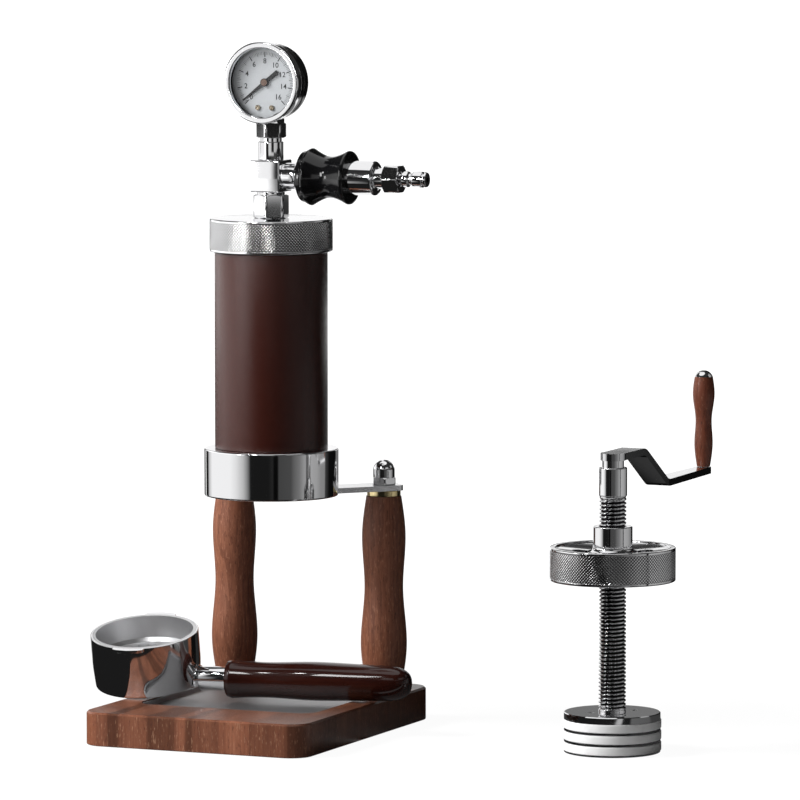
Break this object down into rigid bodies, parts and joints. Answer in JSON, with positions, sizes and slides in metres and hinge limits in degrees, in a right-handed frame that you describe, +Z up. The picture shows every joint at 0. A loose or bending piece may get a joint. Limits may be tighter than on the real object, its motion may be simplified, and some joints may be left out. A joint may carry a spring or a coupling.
{
  "type": "manual espresso maker",
  "caption": "Manual espresso maker: wooden stand with chamber, gas inlet head with gauge and slide valve, portafilter, and a separate hand-cranked screw press head.",
  "frame": {"origin": "middle of the base board's underside", "axes": "+X along the front edge towards the hose plug, +Y from the tray to the posts, +Z up the chamber tube"},
  "size_m": [0.3919, 0.2769, 0.4436],
  "materials": {
    "walnut": "oiled",
    "lacquered_wood": "gloss lacquer",
    "chrome": "polished",
    "satin_steel": "satin",
    "brass": "polished",
    "leather": "fine grain",
    "black_gloss": "gloss",
    "black_enamel": "gloss",
    "rubber": "matt",
    "white_seal": "smooth",
    "dial_white": "matt",
    "clear_glass": "clear",
    "grip_wood": "oiled"
  },
  "bodies": {
    "machine": {"base_board": "walnut", "post_left": "walnut", "post_right": "walnut", "tie_rods": "satin_steel", "foot_washers": "satin_steel", "foot_nuts": "satin_steel", "post_rings": "brass", "acorn_nuts": "chrome", "arm_right": "chrome", "arm_left": "chrome", "group_collar": "chrome", "group_gasket": "rubber", "chamber_tube": "satin_steel", "chamber_sleeve": "leather", "shower_screen": "satin_steel"},
    "tray": {"drip_tray": "satin_steel"},
    "head_ring": {"head_gasket": "rubber"},
    "air_head": {"head_cap": "chrome", "inlet_adapter": "chrome", "tee_block": "chrome", "gauge_riser": "chrome", "gauge_nut": "chrome", "gauge_socket": "brass", "gauge_case": "black_enamel", "gauge_bezel": "chrome", "gauge_glass": "clear_glass", "gauge_dial": "dial_white", "dial_screws": "brass", "bourdon_tube": "brass", "gauge_movement": "brass", "valve_nipple": "chrome", "valve_barrel": "chrome", "valve_seals": "rubber", "outlet_hex": "chrome", "hose_plug": "chrome"},
    "needle": {"gauge_needle": "black_enamel"},
    "slide_sleeve": {"valve_sleeve": "black_gloss"},
    "portafilter": {"portafilter_cup": "chrome", "portafilter_neck": "chrome", "handle_stud": "satin_steel", "portafilter_handle": "lacquered_wood"},
    "basket": {"filter_basket": "satin_steel"},
    "press_piston": {"piston_body": "chrome", "piston_seals": "white_seal", "piston_plate": "chrome", "plate_screws": "satin_steel"},
    "press_crank": {"press_screw": "chrome", "crank_arm": "satin_steel", "grip_pin": "satin_steel"},
    "press_cap": {"press_cap": "chrome"},
    "crank_grip": {"crank_grip": "grip_wood", "grip_dome": "chrome"}
  },
  "joints": [
    {"name": "tray_lift", "type": "slide", "parent": "machine", "child": "tray", "axis": [0, 0, 1], "range_m": [0, 0.03]},
    {"name": "portafilter_lift", "type": "slide", "parent": "tray", "child": "portafilter", "axis": [0, 0, 1], "range_m": [0, 0.055]},
    {"name": "basket_out", "type": "slide", "parent": "portafilter", "child": "basket", "axis": [0.0164, -0.2024, 0.9792], "range_m": [0, 0.035]},
    {"name": "head_rise", "type": "slide", "parent": "machine", "child": "head_ring", "axis": [0, 0, 1], "range_m": [0, 0.014]},
    {"name": "head_turn", "type": "hinge", "parent": "head_ring", "child": "air_head", "pos_m": [0, 0.021, 0.3087], "axis": [0, 0, 1], "range_deg": [0, 2520]},
    {"name": "needle_swing", "type": "hinge", "parent": "air_head", "child": "needle", "pos_m": [0, 0.021, 0.4174], "axis": [0, 1, 0], "range_deg": [-7.5, 262.5]},
    {"name": "sleeve_slide", "type": "slide", "parent": "air_head", "child": "slide_sleeve", "axis": [1, 0, 0], "range_m": [0, 0.006]},
    {"name": "press_lift", "type": "slide", "parent": "machine", "child": "press_piston", "axis": [0, 0, 1], "range_m": [0, 0.12]},
    {"name": "crank_turn", "type": "hinge", "parent": "press_piston", "child": "press_crank", "pos_m": [0.242, 0.0082, 0.02538], "axis": [0, 0, 1], "range_deg": [-2520, 11520]},
    {"name": "press_cap_travel", "type": "slide", "parent": "press_piston", "child": "press_cap", "axis": [0, 0, 1], "range_m": [-0.08, 0.0175]},
    {"name": "grip_spin", "type": "hinge", "parent": "press_crank", "child": "crank_grip", "pos_m": [0.242, 0.1667, 0.16538], "axis": [0, 0, 1], "continuous": true}
  ],
  "couplings": [
    {"joint": "head_rise", "follows": "head_turn", "m_per_rad": 0.00031831},
    {"joint": "press_cap_travel", "follows": "crank_turn", "m_per_rad": -0.00039789}
  ]
}
